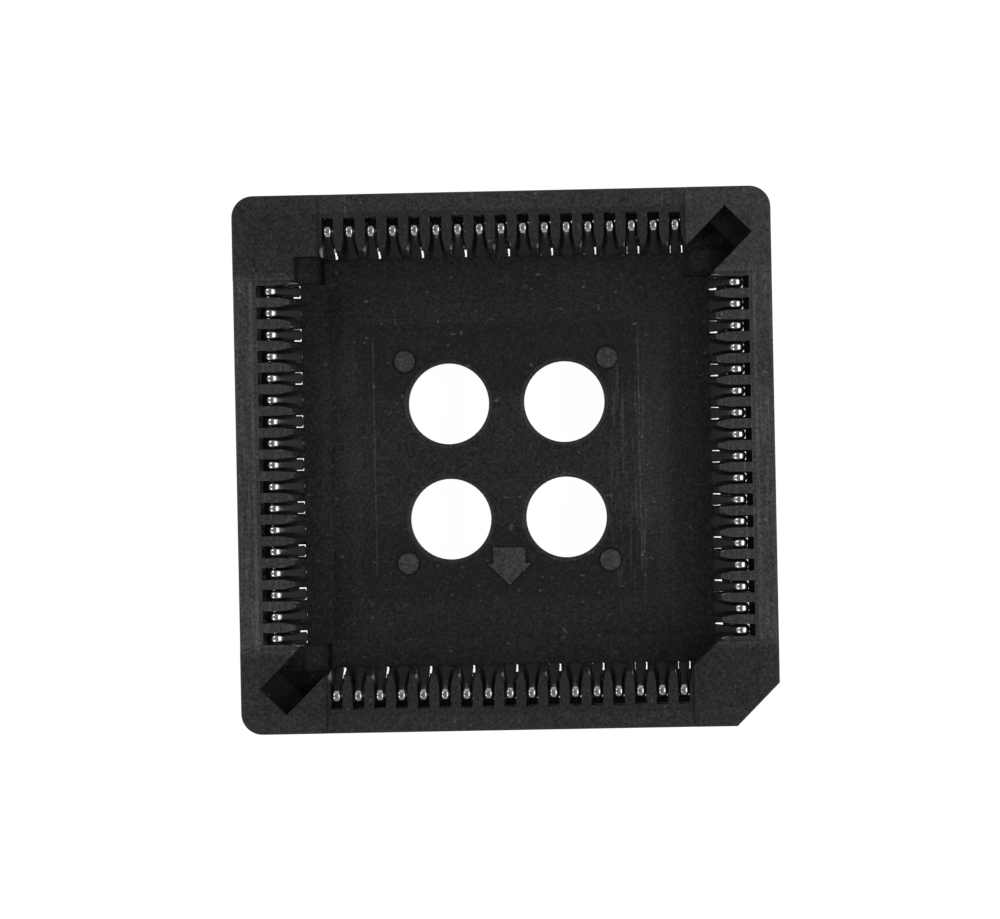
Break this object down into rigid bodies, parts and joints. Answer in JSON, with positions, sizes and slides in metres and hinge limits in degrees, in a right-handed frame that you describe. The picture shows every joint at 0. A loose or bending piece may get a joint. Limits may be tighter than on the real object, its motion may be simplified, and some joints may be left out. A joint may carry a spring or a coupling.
{
  "type": "chip carrier socket",
  "caption": "Square through-hole socket with a chamfered index corner, a sunken well for a square chip carrier, and folded spring contacts in slots along all four walls.",
  "frame": {"origin": "centre of the square in the board plane, where the stand-off feet rest on the board", "axes": "+Z away from the board towards the chip, -Y towards the lead that the raised arrow points at, +X to the right of that arrow seen from above, so that the chamfered corner is at +X -Y"},
  "size_m": [0.0316, 0.0316, 0.0082],
  "materials": {
    "housing": "fine moulded texture, black glass-filled polyester",
    "contact": "bright tin plate on a stamped copper alloy strip"
  },
  "bodies": {
    "root": {"contact_01": "contact", "contact_03": "contact", "contact_05": "contact", "contact_07": "contact", "contact_09": "contact", "contact_10": "contact", "contact_12": "contact", "contact_14": "contact", "contact_16": "contact", "contact_18": "contact", "contact_20": "contact", "contact_22": "contact", "contact_24": "contact", "contact_26": "contact", "contact_27": "contact", "contact_29": "contact", "contact_31": "contact", "contact_33": "contact", "contact_35": "contact", "contact_37": "contact", "contact_39": "contact", "contact_41": "contact", "contact_43": "contact", "contact_44": "contact", "contact_46": "contact", "contact_48": "contact", "contact_50": "contact", "contact_52": "contact", "contact_54": "contact", "contact_56": "contact", "contact_58": "contact", "contact_60": "contact", "contact_61": "contact", "contact_63": "contact", "contact_65": "contact", "contact_67": "contact", "contacts_02_04": "contact", "contacts_06_08": "contact", "contacts_11_13": "contact", "contacts_15_17": "contact", "contacts_19_21": "contact", "contacts_23_25": "contact", "contacts_28_30": "contact", "contacts_32_34": "contact", "contacts_36_38": "contact", "contacts_40_42": "contact", "contacts_45_47": "contact", "contacts_49_51": "contact", "contacts_53_55": "contact", "contacts_57_59": "contact", "contacts_62_64": "contact", "contacts_66_68": "contact", "housing": "housing"}
  },
  "joints": []
}
